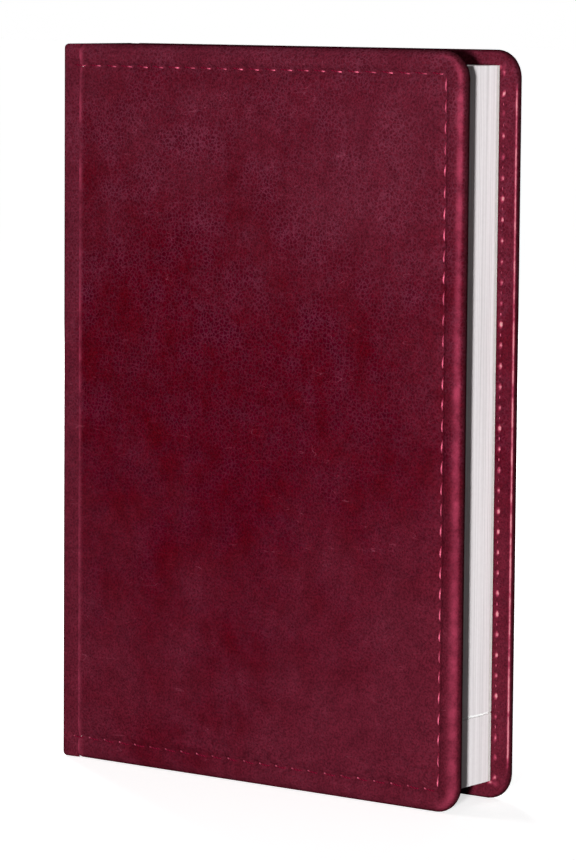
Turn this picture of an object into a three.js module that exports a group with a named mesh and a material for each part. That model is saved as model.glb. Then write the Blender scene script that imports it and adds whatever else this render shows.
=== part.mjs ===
// Undated page-a-day diary in a padded, stitched hard cover, standing on its tail edge.
// Millimetres. +X runs from the spine to the fore edge, +Y from the front cover to the
// back cover, +Z from the tail to the head. The origin is at the middle of the foot.

import * as THREE from 'three';

// Cover, as it is handled
const coverHeight = 215;
const coverWidth = 145;
const foreCornerRadius = 8;
const jointCornerRadius = 1;

// Layers of one cover, from the outside in
const skinThickness = 0.7;
const foamThickness = 1.2;
const boardThickness = 1.6;
const turnInThickness = 0.5;
const pastedownThickness = 0.3;

// Rounded edges of a cover
const edgeRound = 3.6;
const jointEdgeRound = 1.6;
const innerEdgeRound = 1.2;
const borderDrop = 0.08;
const edgeFlat = 0.6;
const turnInWidth = 9.5;
const layerClearance = 0.1;
const boardClearance = 0.15;
const pastedownClearance = 0.2;

// Seam that runs round the three free edges of a cover
const seamInset = 6.4;
const channelWidth = 2.6;
const channelDepth = 0.85;
const innerChannelDepth = 0.2;
const stitchPitch = 5.85;
const stitchRise = 0.14;
const threadRadius = 0.26;
const threadCover = 0.08;
const bobbinRadius = 0.16;
const seamCornerRadius = 1.4;

// Spine and the two flexible joints
const spineDrop = 0.4;
const spineCornerRadius = 1;
const spineLip = 1.1;
const spineBoardThickness = 1.2;
const spineBoardEndGap = 0.8;
const hollowGap = 0.3;
const jointWidth = 4.2;
const jointGap = 0.3;
const jointEndGap = 0.2;

// Text block
const headSquare = 4.4;
const tailSquare = 5.4;
const foreSquare = 6.2;
const closingGap = 0.3;
const sectionCount = 11;
const sectionThickness = 1.8;
const turningLeaves = 4;
const leafThickness = 0.12;
const leafPitch = 0.26;
const boundMargin = 8.2;
const leafSlack = 0.8;
const leafStagger = 0.5;
const tearCorner = 20;
const perforationWidth = 0.5;
const perforationDepth = 0.4;

// Back of the text block: lining paper, gauze, glue and the sewing
const liningThickness = 0.2;
const gauzeThickness = 0.2;
const glueThickness = 0.3;
const liningEndGap = 3;
const gauzeEndGap = 6;
const glueEndGap = 0.2;
const sewingStations = 4;
const sewingEndInset = 22;
const sewingRadius = 0.3;
const kerfDepth = 0.9;
const kerfWidth = 1.2;
const bandWidth = 1.8;
const bandHeight = 1.6;
const bandEndGap = 0.2;
const foldPaperThickness = 0.15;
const foldPaperWidth = 2.4;
const foldPaperGap = 0.1;

// Sizes that follow from the ones above
const coverThickness = skinThickness + foamThickness + boardThickness + turnInThickness;
const leavesPerSide = turningLeaves + 1;
const marginThickness = leavesPerSide * leafPitch;
const blockThickness = sectionCount * sectionThickness + 2 * marginThickness;
const halfBlock = blockThickness / 2;
const halfThickness = halfBlock + closingGap + coverThickness;
const boardDepth = skinThickness + foamThickness;
const turnInDepth = boardDepth + boardThickness;
const spineHalfWidth = halfThickness - spineDrop;
const spineBoardX = skinThickness;
const liningX = spineBoardX + spineBoardThickness + hollowGap;
const gauzeX = liningX + liningThickness;
const glueX = gauzeX + gauzeThickness;
const blockX = glueX + glueThickness;
const foreEdgeX = coverWidth - foreSquare;
const blockTailZ = tailSquare;
const blockHeadZ = coverHeight - headSquare;
const jointX = spineLip + jointWidth;
const leafHingeX = blockX + boundMargin + leafSlack;

// Materials
const leatherette = new THREE.MeshStandardMaterial({ color: 0x6b1c2f, roughness: 0.48 });
const seamThread = new THREE.MeshStandardMaterial({ color: 0xa12a3f, roughness: 0.55 });
const greyboard = new THREE.MeshStandardMaterial({ color: 0x8f8a80, roughness: 0.95 });
const foam = new THREE.MeshStandardMaterial({ color: 0xe8e4d8, roughness: 1 });
const pagePaper = new THREE.MeshStandardMaterial({ color: 0xf3efe8, roughness: 0.9 });
const endPaper = new THREE.MeshStandardMaterial({ color: 0xf6f3ec, roughness: 0.85 });
const kraftPaper = new THREE.MeshStandardMaterial({ color: 0xb79a72, roughness: 0.95 });
const gauze = new THREE.MeshStandardMaterial({ color: 0xe3ddcc, roughness: 1 });
const glue = new THREE.MeshStandardMaterial({ color: 0xe9dfb8, roughness: 0.4 });
const sewingThread = new THREE.MeshStandardMaterial({ color: 0xf4f1e9, roughness: 0.8 });
const bandCloth = new THREE.MeshStandardMaterial({ color: 0x8b2237, roughness: 0.85 });

const diary = new THREE.Group();

function add(parent, name, geometry, material) {
  const mesh = new THREE.Mesh(geometry, material);
  mesh.name = name;
  parent.add(mesh);
}

// A closed body through a row of rings with the same number of points, capped at both ends.
// The first and last rings are convex, so a fan closes each of them.
function loft(rings) {
  const count = rings[0].length;
  const positions = rings.flat().flatMap((point) => [point.x, point.y, point.z]);
  const triangles = [];
  for (let r = 0; r < rings.length - 1; r += 1) {
    for (let i = 0; i < count; i += 1) {
      const next = (i + 1) % count;
      const a = r * count + i;
      const b = r * count + next;
      const c = (r + 1) * count + next;
      const d = (r + 1) * count + i;
      triangles.push(a, b, c, a, c, d);
    }
  }
  const last = (rings.length - 1) * count;
  for (let i = 1; i < count - 1; i += 1) {
    triangles.push(0, i + 1, i);
    triangles.push(last, last + i, last + i + 1);
  }
  if (signedVolume(positions, triangles) < 0) {
    triangles.reverse();
  }
  const geometry = new THREE.BufferGeometry();
  geometry.setAttribute('position', new THREE.Float32BufferAttribute(positions, 3));
  geometry.setIndex(triangles);
  geometry.computeVertexNormals();
  return geometry;
}

function signedVolume(positions, triangles) {
  const corner = (i) => new THREE.Vector3().fromArray(positions, 3 * triangles[i]);
  let sum = 0;
  for (let i = 0; i < triangles.length; i += 3) {
    sum += corner(i).dot(corner(i + 1).cross(corner(i + 2)));
  }
  return sum / 6;
}

// A flat piece: its outline is drawn in X and Z, and it reaches from one Y to another.
function slab(outline, fromY, toY) {
  const geometry = new THREE.ExtrudeGeometry(outline, { depth: toY - fromY, bevelEnabled: false });
  geometry.rotateX(Math.PI / 2);
  geometry.translate(0, toY, 0);
  return geometry;
}

function box(fromX, toX, fromY, toY, fromZ, toZ) {
  const geometry = new THREE.BoxGeometry(toX - fromX, toY - fromY, toZ - fromZ);
  geometry.translate((fromX + toX) / 2, (fromY + toY) / 2, (fromZ + toZ) / 2);
  return geometry;
}

// One ring of a cover: the cover's outline drawn in by an inset, and by another one along
// the joint. Depth counts from the outer face in, and may differ along the joint.
const foreCornerSteps = 6;
const jointCornerSteps = 2;
const leastRadius = 0.3;

function coverRing(side, { inset, jointInset, depth, jointDepth }) {
  const foreRadius = Math.max(foreCornerRadius - inset, leastRadius);
  const jointRadius = Math.max(jointCornerRadius - jointInset, leastRadius);
  const lowX = jointX + jointInset;
  const highX = coverWidth - inset;
  const lowZ = inset;
  const highZ = coverHeight - inset;
  const points = [];
  const place = (x, z, atDepth) => {
    points.push(new THREE.Vector3(x, side * (halfThickness - atDepth), z));
  };
  const corner = (x, z, radius, startAngle, steps, depthAt) => {
    for (let i = 0; i <= steps; i += 1) {
      const angle = startAngle + (i / steps) * (Math.PI / 2);
      place(x + radius * Math.cos(angle), z + radius * Math.sin(angle), depthAt(i / steps));
    }
  };
  const level = () => depth;
  const intoJoint = (t) => THREE.MathUtils.lerp(depth, jointDepth, t);
  const outOfJoint = (t) => THREE.MathUtils.lerp(jointDepth, depth, t);
  corner(highX - foreRadius, lowZ + foreRadius, foreRadius, -Math.PI / 2, foreCornerSteps, level);
  corner(highX - foreRadius, highZ - foreRadius, foreRadius, 0, foreCornerSteps, level);
  corner(lowX + jointRadius, highZ - jointRadius, jointRadius, Math.PI / 2, jointCornerSteps, intoJoint);
  corner(lowX + jointRadius, lowZ + jointRadius, jointRadius, Math.PI, jointCornerSteps, outOfJoint);
  return points;
}

// The padded face of a cover, from its flat panel over the seam channel and the puffed
// border to the edge. A sink moves the same surface inwards, for the layers beneath.
const channelSteps = 4;
const edgeSteps = 4;
const jointCrowding = 0.25;
const faceJointInset = (inset) => jointEdgeRound + (inset - edgeRound) * jointCrowding;

function paddedFace(sink) {
  const profile = [];
  for (let i = 0; i <= channelSteps; i += 1) {
    const across = 1 - (2 * i) / channelSteps;
    const inset = seamInset + (across * channelWidth) / 2;
    const dip = channelDepth * Math.cos((across * Math.PI) / 2);
    profile.push({
      inset,
      jointInset: faceJointInset(inset),
      depth: dip + sink,
      jointDepth: sink,
    });
  }
  for (let i = 0; i <= edgeSteps; i += 1) {
    const turn = (i / edgeSteps) * (Math.PI / 2);
    const fall = borderDrop + sink + (boardDepth - borderDrop - sink) * (1 - Math.cos(turn));
    profile.push({
      inset: sink + (edgeRound - sink) * (1 - Math.sin(turn)),
      jointInset: sink + (jointEdgeRound - sink) * (1 - Math.sin(turn)),
      depth: fall,
      jointDepth: fall,
    });
  }
  return profile;
}

// The turn-in: over the flat of the edge, round it, across the inner seam channel and up
// to the window in which the pastedown lies.
const innerSteps = 3;
const innerJointCrowding = 0.06;
const turnInJointInset = (inset) => innerEdgeRound + (inset - innerEdgeRound) * innerJointCrowding;

function turnedInFace() {
  const profile = [];
  const flatDepth = boardDepth + edgeFlat;
  for (let i = 0; i <= innerSteps; i += 1) {
    const turn = (i / innerSteps) * (Math.PI / 2);
    const inset = innerEdgeRound * (1 - Math.cos(turn));
    const depth = flatDepth + (coverThickness - flatDepth) * Math.sin(turn);
    profile.push({ inset, jointInset: inset, depth, jointDepth: depth });
  }
  for (const across of [-1, 0, 1]) {
    const inset = seamInset + (across * channelWidth) / 2;
    profile.push({
      inset,
      jointInset: turnInJointInset(inset),
      depth: coverThickness - (across === 0 ? innerChannelDepth : 0),
      jointDepth: coverThickness,
    });
  }
  for (const depth of [coverThickness, turnInDepth]) {
    const jointInset = turnInJointInset(turnInWidth);
    profile.push({ inset: turnInWidth, jointInset, depth, jointDepth: depth });
  }
  profile.push({
    inset: skinThickness,
    jointInset: skinThickness,
    depth: turnInDepth,
    jointDepth: turnInDepth,
  });
  return profile;
}

function coverSkin(side) {
  const profile = [...paddedFace(0), ...turnedInFace(), ...paddedFace(skinThickness).reverse()];
  return loft(profile.map((step) => coverRing(side, step)));
}

function coverFoam(side) {
  const profile = paddedFace(skinThickness + layerClearance);
  const foot = { ...profile[profile.length - 1] };
  foot.inset = skinThickness + boardClearance;
  foot.jointInset = foot.inset;
  profile[profile.length - 1] = foot;
  return loft(profile.map((step) => coverRing(side, step)));
}

function coverPlate(side, inset, jointInset, fromDepth, toDepth) {
  const rings = [fromDepth, toDepth].map((depth) => (
    coverRing(side, { inset, jointInset, depth, jointDepth: depth })
  ));
  return loft(rings);
}

// A seam strand: one unbroken thread along the three free edges, that sinks at each needle
// hole and rises between them. Its steps per stitch say how finely that is drawn.
function seamRoute(stepsPerStitch) {
  const startX = jointX + faceJointInset(seamInset) + leastRadius + threadRadius;
  const foreX = coverWidth - seamInset;
  const radius = seamCornerRadius;
  const lowZ = seamInset;
  const highZ = coverHeight - seamInset;
  const bend = Math.PI / 4;
  const runs = [
    { from: [startX, highZ], to: [foreX - radius, highZ], turn: 0 },
    { from: [foreX, highZ - radius], to: [foreX, lowZ + radius], turn: 1 },
    { from: [foreX - radius, lowZ], to: [startX, lowZ], turn: 2 },
  ];
  const route = [];
  runs.forEach(({ from, to, turn }, index) => {
    const length = Math.hypot(to[0] - from[0], to[1] - from[1]);
    const steps = stepsPerStitch * Math.round(length / stitchPitch);
    const heading = -turn * (Math.PI / 2);
    for (let i = 0; i <= steps; i += 1) {
      const x = THREE.MathUtils.lerp(from[0], to[0], i / steps);
      const z = THREE.MathUtils.lerp(from[1], to[1], i / steps);
      const raised = i % stepsPerStitch === 0 ? 0 : 1;
      route.push({ x, z, heading, raised });
    }
    if (index < 2) {
      const centreX = foreX - radius;
      const centreZ = index === 0 ? highZ - radius : lowZ + radius;
      const middle = heading + bend;
      const angle = index === 0 ? bend : -bend;
      const x = centreX + radius * Math.cos(angle);
      const z = centreZ + radius * Math.sin(angle);
      route.push({ x, z, heading: middle - 2 * bend, raised: 0 });
    }
  });
  return route;
}

const threadSides = 4;

function seamStrand(side, stepsPerStitch, radius, lowDepth, rise) {
  const rings = seamRoute(stepsPerStitch).map(({ x, z, heading, raised }) => {
    const centreY = side * (halfThickness - (lowDepth - raised * rise));
    const acrossX = -Math.sin(heading);
    const acrossZ = Math.cos(heading);
    const ring = [];
    for (let i = 0; i < threadSides; i += 1) {
      const angle = (i / threadSides) * 2 * Math.PI;
      const across = radius * Math.cos(angle);
      const out = radius * Math.sin(angle);
      ring.push(new THREE.Vector3(x + across * acrossX, centreY + out, z + across * acrossZ));
    }
    return ring;
  });
  return loft(rings);
}

// One cover: skin, foam, board, pastedown and its seam, as the bench would find them
function cover(name, side) {
  const group = new THREE.Group();
  const boardInset = skinThickness + boardClearance;
  const paperInset = turnInWidth + pastedownClearance;
  const paperJointInset = turnInJointInset(turnInWidth) + pastedownClearance;
  const paperDepth = turnInDepth + pastedownThickness;
  const topThreadDepth = threadCover + threadRadius + stitchRise;
  const bobbinDepth = coverThickness - innerChannelDepth + bobbinRadius + layerClearance / 2;
  const board = coverPlate(side, boardInset, boardInset, boardDepth, turnInDepth);
  const pastedown = coverPlate(side, paperInset, paperJointInset, turnInDepth, paperDepth);
  const topThread = seamStrand(side, 2, threadRadius, topThreadDepth, stitchRise);
  const bobbin = seamStrand(side, 1, bobbinRadius, bobbinDepth, 0);
  add(group, `${name}_cover_skin`, coverSkin(side), leatherette);
  add(group, `${name}_padding`, coverFoam(side), foam);
  add(group, `${name}_board`, board, greyboard);
  add(group, `${name}_pastedown`, pastedown, endPaper);
  add(group, `${name}_seam_top_thread`, topThread, seamThread);
  add(group, `${name}_seam_bobbin_thread`, bobbin, seamThread);
  return group;
}

// The flexible joint between the spine and a cover, and the fold of the endpaper behind it
function joint(name, side) {
  const group = new THREE.Group();
  const outerY = side * spineHalfWidth;
  const innerY = side * (spineHalfWidth - skinThickness);
  const stripLow = Math.min(outerY, innerY);
  const stripHigh = Math.max(outerY, innerY);
  const strip = box(
    spineLip + jointGap, jointX - jointGap,
    stripLow, stripHigh,
    jointEndGap, coverHeight - jointEndGap,
  );
  add(group, `${name}_joint_strip`, strip, leatherette);
  const paperNear = side * (halfBlock + foldPaperGap);
  const paperFar = side * (halfBlock + foldPaperGap + foldPaperThickness);
  const fold = box(
    blockX, blockX + foldPaperWidth,
    Math.min(paperNear, paperFar), Math.max(paperNear, paperFar),
    blockTailZ, blockHeadZ,
  );
  add(group, `${name}_endpaper_fold`, fold, endPaper);
  return group;
}

// The spine's skin is a shallow channel round the spine board, with rounded corners
function spineSkinGeometry() {
  const outer = spineHalfWidth;
  const inner = spineHalfWidth - skinThickness;
  const radius = spineCornerRadius;
  const outline = new THREE.Shape();
  outline.moveTo(spineLip, -outer);
  outline.lineTo(spineLip, -inner);
  outline.lineTo(skinThickness, -inner);
  outline.lineTo(skinThickness, inner);
  outline.lineTo(spineLip, inner);
  outline.lineTo(spineLip, outer);
  outline.lineTo(radius, outer);
  outline.absarc(radius, outer - radius, radius, Math.PI / 2, Math.PI, false);
  outline.lineTo(0, radius - outer);
  outline.absarc(radius, radius - outer, radius, Math.PI, 1.5 * Math.PI, false);
  return new THREE.ExtrudeGeometry(outline, {
    depth: coverHeight, bevelEnabled: false, curveSegments: 4,
  });
}

// Heights of the sewing stations up the back of the text block
function sewingHeights() {
  const heights = [];
  const low = blockTailZ + sewingEndInset;
  const high = blockHeadZ - sewingEndInset;
  for (let i = 0; i < sewingStations; i += 1) {
    heights.push(THREE.MathUtils.lerp(low, high, i / (sewingStations - 1)));
  }
  return heights;
}

// The outline of a leaf or a section, with the perforation of its tear-off corner nicked
// into both edges, and with the kerfs for the sewing where it reaches the spine
function leafOutline(fromX, withKerfs) {
  const outline = new THREE.Shape();
  const nick = perforationWidth / 2;
  const tearX = foreEdgeX - tearCorner;
  const tearZ = blockTailZ + tearCorner;
  outline.moveTo(fromX, blockTailZ);
  outline.lineTo(tearX - nick, blockTailZ);
  outline.lineTo(tearX, blockTailZ + perforationDepth);
  outline.lineTo(tearX + nick, blockTailZ);
  outline.lineTo(foreEdgeX, blockTailZ);
  outline.lineTo(foreEdgeX, tearZ - nick);
  outline.lineTo(foreEdgeX - perforationDepth, tearZ);
  outline.lineTo(foreEdgeX, tearZ + nick);
  outline.lineTo(foreEdgeX, blockHeadZ);
  outline.lineTo(fromX, blockHeadZ);
  if (withKerfs) {
    cutKerfs(outline, fromX);
  }
  outline.closePath();
  return outline;
}

function cutKerfs(outline, atX) {
  for (const height of sewingHeights().reverse()) {
    outline.lineTo(atX, height + kerfWidth / 2);
    outline.lineTo(atX + kerfDepth, height + kerfWidth / 2);
    outline.lineTo(atX + kerfDepth, height - kerfWidth / 2);
    outline.lineTo(atX, height - kerfWidth / 2);
  }
}

function marginOutline() {
  const outline = new THREE.Shape();
  outline.moveTo(blockX, blockTailZ);
  outline.lineTo(blockX + boundMargin, blockTailZ);
  outline.lineTo(blockX + boundMargin, blockHeadZ);
  outline.lineTo(blockX, blockHeadZ);
  cutKerfs(outline, blockX);
  outline.closePath();
  return outline;
}

// The sewn sections, and at each side the margins by which the turning leaves are held
function addTextBlock(parent) {
  const firstY = marginThickness - halfBlock;
  for (let i = 0; i < sectionCount; i += 1) {
    const fromY = firstY + i * sectionThickness;
    const name = `section_${String(i + 1).padStart(2, '0')}`;
    add(parent, name, slab(leafOutline(blockX, true), fromY, fromY + sectionThickness), pagePaper);
  }
  add(parent, 'front_leaf_margins', slab(marginOutline(), -halfBlock, firstY), pagePaper);
  add(parent, 'back_leaf_margins', slab(marginOutline(), -firstY, halfBlock), pagePaper);
}

// The leaves that turn with a cover: the flyleaf outermost, then the first or last pages.
// Each one inwards starts a little further from the spine, so that it clears the last.
function leaves(name, side) {
  const group = new THREE.Group();
  for (let i = 0; i < leavesPerSide; i += 1) {
    const outerY = side * (halfBlock - i * leafPitch);
    const innerY = side * (halfBlock - i * leafPitch - leafThickness);
    const fromX = leafHingeX + i * leafStagger;
    const leaf = slab(leafOutline(fromX, false), Math.min(outerY, innerY), Math.max(outerY, innerY));
    const leafName = i === 0 ? `${name}_flyleaf` : `${name}_leaf_${i}`;
    add(group, leafName, leaf, i === 0 ? endPaper : pagePaper);
  }
  return group;
}

// The sewing lies in the kerfs, across the back of all the sections
function addSewing(parent) {
  sewingHeights().forEach((height, index) => {
    const strand = new THREE.CylinderGeometry(sewingRadius, sewingRadius, blockThickness, 6);
    strand.translate(blockX + kerfDepth / 2, 0, height);
    add(parent, `sewing_thread_${index + 1}`, strand, sewingThread);
  });
}

// A band of cloth over a bead, at the head or the tail of the spine
function bandGeometry(atZ, up) {
  const outline = new THREE.Shape();
  outline.moveTo(blockX, atZ);
  outline.lineTo(blockX + bandWidth, atZ);
  const middle = blockX + bandWidth / 2;
  const turns = 6;
  for (let i = 1; i < turns; i += 1) {
    const angle = (i / turns) * Math.PI;
    const z = atZ + up * bandHeight * Math.sin(angle);
    outline.lineTo(middle + (bandWidth / 2) * Math.cos(angle), z);
  }
  outline.closePath();
  const reach = halfBlock - marginThickness - bandEndGap;
  return slab(outline, -reach, reach);
}

function addSpine(parent) {
  const boardReach = spineHalfWidth - skinThickness - layerClearance;
  const spineBoard = box(
    spineBoardX, spineBoardX + spineBoardThickness,
    -boardReach, boardReach,
    spineBoardEndGap, coverHeight - spineBoardEndGap,
  );
  const backing = (fromX, toX, endGap) => box(
    fromX, toX,
    -halfBlock, halfBlock,
    blockTailZ + endGap, blockHeadZ - endGap,
  );
  add(parent, 'spine_skin', spineSkinGeometry(), leatherette);
  add(parent, 'spine_board', spineBoard, greyboard);
  add(parent, 'spine_lining', backing(liningX, gauzeX, liningEndGap), kraftPaper);
  add(parent, 'spine_gauze', backing(gauzeX, glueX, gauzeEndGap), gauze);
  add(parent, 'spine_glue', backing(glueX, blockX, glueEndGap), glue);
  add(parent, 'head_band', bandGeometry(blockHeadZ, 1), bandCloth);
  add(parent, 'tail_band', bandGeometry(blockTailZ, -1), bandCloth);
}

addSpine(diary);
addTextBlock(diary);
addSewing(diary);
for (const [name, side] of [['front', -1], ['back', 1]]) {
  diary.add(joint(name, side));
  diary.add(leaves(name, side));
  diary.add(cover(name, side));
}
diary.position.x = -coverWidth / 2;

export default diary;
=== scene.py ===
# %% [markdown]
# # An undated diary
# The object is a page-a-day diary: a block of sewn leaves in a case whose two padded covers are
# wrapped in burgundy leatherette and stitched near their edges.

import math
from contextlib import contextmanager

import bmesh
import bpy
import numpy as np
from mathutils import Matrix, Vector, noise


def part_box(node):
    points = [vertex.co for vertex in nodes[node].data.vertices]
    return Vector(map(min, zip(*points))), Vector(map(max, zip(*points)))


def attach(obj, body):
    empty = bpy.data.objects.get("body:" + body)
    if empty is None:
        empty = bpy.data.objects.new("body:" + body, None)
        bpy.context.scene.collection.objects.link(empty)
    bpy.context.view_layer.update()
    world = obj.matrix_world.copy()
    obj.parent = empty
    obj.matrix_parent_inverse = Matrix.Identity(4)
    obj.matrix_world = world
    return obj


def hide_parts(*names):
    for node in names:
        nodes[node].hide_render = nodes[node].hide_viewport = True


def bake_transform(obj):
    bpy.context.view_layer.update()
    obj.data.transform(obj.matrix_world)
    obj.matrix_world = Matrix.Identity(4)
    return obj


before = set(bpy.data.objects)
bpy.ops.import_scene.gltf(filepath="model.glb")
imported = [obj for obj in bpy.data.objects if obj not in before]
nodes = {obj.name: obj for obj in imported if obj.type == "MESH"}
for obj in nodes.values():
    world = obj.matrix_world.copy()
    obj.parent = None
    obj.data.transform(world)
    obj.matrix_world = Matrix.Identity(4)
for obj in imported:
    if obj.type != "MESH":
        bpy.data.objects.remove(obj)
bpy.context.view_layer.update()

# %% [markdown]
# ## Sizes
# The diary was measured in millimetres from the outer face of its spine, from the middle of its
# thickness and from its tail edge. One function turns such a place into the frame's metres, so the
# numbers below stay the ones that a bookbinder would use.

# %% Sizes of the diary in millimetres
MM = 0.001
SPINE_TO_MIDDLE = 72.5
COVER_WIDTH = 145.0
COVER_HEIGHT = 215.0
HALF_THICKNESS = 15.5
COVER_THICKNESS = 4.0
FORE_CORNER = 8.0
JOINT_CORNER = 1.0
JOINT_X = 5.3
EDGE_ROUND = 3.6
JOINT_ROUND = 1.6
INNER_ROUND = 1.2
EDGE_DEPTH = 2.35
FLAT_DEPTH = 2.6
SEAM_INSET = 6.4
SEAM_START = 3.2
SEAM_SLANT = 1.5  # the inner side of the seam lies this much further out
SEAM_X = COVER_WIDTH - SEAM_INSET
SEAM_TOP = COVER_HEIGHT - SEAM_INSET
STITCHES_ACROSS = 23
STITCHES_DOWN = 34
TURN_IN = 9.5
STRIP_Y = 15.1
STRIP_THICKNESS = 0.7
BLOCK_TAIL = 5.4
BLOCK_HEAD = 210.6
BLOCK_FORE = 138.8
PERFORATION_Z = 25.4
LEAF_THICKNESS = 0.12
SIDES = (("front", -1), ("back", 1))


def place(x, y, z):
    """A place in the diary's millimetres, as a vector in the frame's metres."""
    return Vector(((x - SPINE_TO_MIDDLE) * MM, y * MM, z * MM))


# %% [markdown]
# ## Camera
# The photograph shows the diary standing on its tail, seen from the front and the right, a little
# from above, with a long lens. The place, tilt and lens come from a least-squares fit to the
# corners of both covers and of the leaves, so the picture's outline agrees within three pixels.

# %% Camera
YAW, PITCH, ROLL = 0.64507, 0.10858, 0.00783
TARGET = Vector((0.000917, 0.0, 0.10322))
DISTANCE = 1.19128
SENSOR_WIDTH = 36.0
FOCAL_SHARE = 4069.52 / 860.0

forward = Vector((-math.sin(YAW) * math.cos(PITCH), math.cos(YAW) * math.cos(PITCH), -math.sin(PITCH)))
right = Vector((math.cos(YAW), math.sin(YAW), 0.0))
up = right.cross(forward)
right_rolled = right * math.cos(ROLL) + up * math.sin(ROLL)
up_rolled = up * math.cos(ROLL) - right * math.sin(ROLL)
bpy.ops.object.camera_add()
camera = bpy.context.object
camera.name = "camera"
camera.data.lens = SENSOR_WIDTH * FOCAL_SHARE
camera.data.sensor_width = SENSOR_WIDTH
camera.data.clip_start = 0.01
camera.data.clip_end = 50.0
turn = Matrix((right_rolled, up_rolled, -forward)).transposed().to_4x4()
camera.matrix_world = Matrix.Translation(TARGET - forward * DISTANCE) @ turn
bpy.context.scene.camera = camera
bpy.context.scene.view_settings.view_transform = "Standard"
print("camera lens", round(camera.data.lens, 1), "mm at", tuple(round(c, 3) for c in camera.location))

# %% [markdown]
# ## Node helpers and colours
# A procedural material is a small graph of nodes. One function adds a node and links its sockets,
# and short ones built on it make the nodes that are used most. Another turns a colour as a painter
# reads it, in sRGB hex, into the linear values that the renderer works with.

# %% Node helpers and colours
WAVE_UNIT = 0.314  # a wave texture of scale 1 repeats at this distance


def add_node(tree, kind, inputs=None, **settings):
    """Adds a node; inputs holds a value or a socket to link for each socket's name or number."""
    made = tree.nodes.new(kind)
    for key, value in settings.items():
        setattr(made, key, value)
    for key, value in (inputs or {}).items():
        if isinstance(value, bpy.types.NodeSocket):
            tree.links.new(value, made.inputs[key])
        else:
            made.inputs[key].default_value = value
    return made


def linear(text):
    """An sRGB hex colour as linear red, green, blue and alpha."""
    channels = [int(text[i : i + 2], 16) / 255 for i in (1, 3, 5)]
    return [c / 12.92 if c <= 0.04045 else ((c + 0.055) / 1.055) ** 2.4 for c in channels] + [1.0]


def maths(tree, operation, *inputs):
    return add_node(tree, "ShaderNodeMath", dict(enumerate(inputs)), operation=operation).outputs[0]


def remap(tree, value, low, high, to_low=0.0, to_high=1.0, kind="LINEAR"):
    """The value, with low to high turned into to_low to to_high and held there beyond them."""
    inputs = {"Value": value, "From Min": low, "From Max": high, "To Min": to_low, "To Max": to_high}
    return add_node(tree, "ShaderNodeMapRange", inputs, interpolation_type=kind).outputs[0]


def mixed(tree, amount, first, second):
    """The first colour with this amount of the second; each is a socket or an sRGB hex."""
    first, second = [linear(c) if isinstance(c, str) else c for c in (first, second)]
    return add_node(tree, "ShaderNodeMix", {0: amount, 6: first, 7: second}, data_type="RGBA").outputs[2]


def clouded(tree, spot, size_mm, detail, roughness=0.5):
    """A noise whose largest clouds are about size_mm wide."""
    inputs = {"Vector": spot, "Scale": 1 / (size_mm * MM), "Detail": detail, "Roughness": roughness}
    return add_node(tree, "ShaderNodeTexNoise", inputs).outputs[0]


def banded(tree, spot, pitch_mm, direction, **inputs):
    inputs = {"Vector": spot, "Scale": WAVE_UNIT / (pitch_mm * MM), **inputs}
    return add_node(tree, "ShaderNodeTexWave", inputs, bands_direction=direction).outputs["Fac"]


def attribute(tree, name):
    return add_node(tree, "ShaderNodeAttribute", attribute_name=name).outputs["Fac"]


def axes_of(tree, vector):
    return add_node(tree, "ShaderNodeSeparateXYZ", {0: vector}).outputs


def seen_directly(tree):
    """1 for camera, glossy and transmission rays, and 0 for the light that falls on things."""
    rays = add_node(tree, "ShaderNodeLightPath").outputs
    either = maths(tree, "MAXIMUM", rays["Is Camera Ray"], rays["Is Glossy Ray"])
    return maths(tree, "MAXIMUM", either, rays["Is Transmission Ray"])


def new_material(name):
    """A material with a Principled BSDF: the material, its tree, its shader and its coordinates."""
    material = bpy.data.materials.new(name)
    material.use_nodes = True
    tree = material.node_tree
    return material, tree, tree.nodes["Principled BSDF"], add_node(tree, "ShaderNodeTexCoord").outputs


def dress(tree, shader, colour, height, strength, depth_mm):
    """Gives the shader its colour, and a bump from the height."""
    tree.links.new(colour, shader.inputs["Base Color"])
    inputs = {"Height": height, "Strength": strength, "Distance": depth_mm * MM}
    tree.links.new(add_node(tree, "ShaderNodeBump", inputs).outputs[0], shader.inputs["Normal"])


# %% [markdown]
# ## Floor, background and light
# The floor is a plain pale sheet that keeps a soft shadow. What the camera sees beyond it is white
# because of the background's own colour, not because of more light on the diary: Light Path picks
# that colour for camera, glossy and transmission rays, and a calmer one lights the object. The key
# light is low and hardly reaches the floor, so a glow for the same rays lifts the floor to white.
# For all other rays the floor is grey, so that it doesn't fill the shadow beside the leaves.

# %% Floor and background
bpy.ops.mesh.primitive_plane_add(size=24.0, location=(0.0, 0.0, 0.0))
floor = bpy.context.object
floor.name = "floor"
floor_material, tree, shader, spots = new_material("white_paper_sweep")
direct = seen_directly(tree)
away = add_node(tree, "ShaderNodeVectorMath", {0: spots["Object"]}, operation="LENGTH").outputs["Value"]
glow = maths(tree, "MULTIPLY", direct, remap(tree, away, 0.1, 1.1, 0.64, 0.9))
tree.links.new(mixed(tree, direct, "#505050", "#f4f4f4"), shader.inputs["Base Color"])
tree.links.new(glow, shader.inputs["Emission Strength"])
shader.inputs["Emission Color"].default_value = linear("#ffffff")
shader.inputs["Roughness"].default_value = 0.9
floor.data.materials.append(floor_material)

world = bpy.data.worlds.new("studio")
bpy.context.scene.world = world
world.use_nodes = True
tree = world.node_tree
tree.nodes.clear()
strength = remap(tree, seen_directly(tree), 0.0, 1.0, 0.025, 1.0)
background = add_node(tree, "ShaderNodeBackground", {"Color": linear("#ffffff"), "Strength": strength})
add_node(tree, "ShaderNodeOutputWorld", {"Surface": background.outputs[0]})

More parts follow.
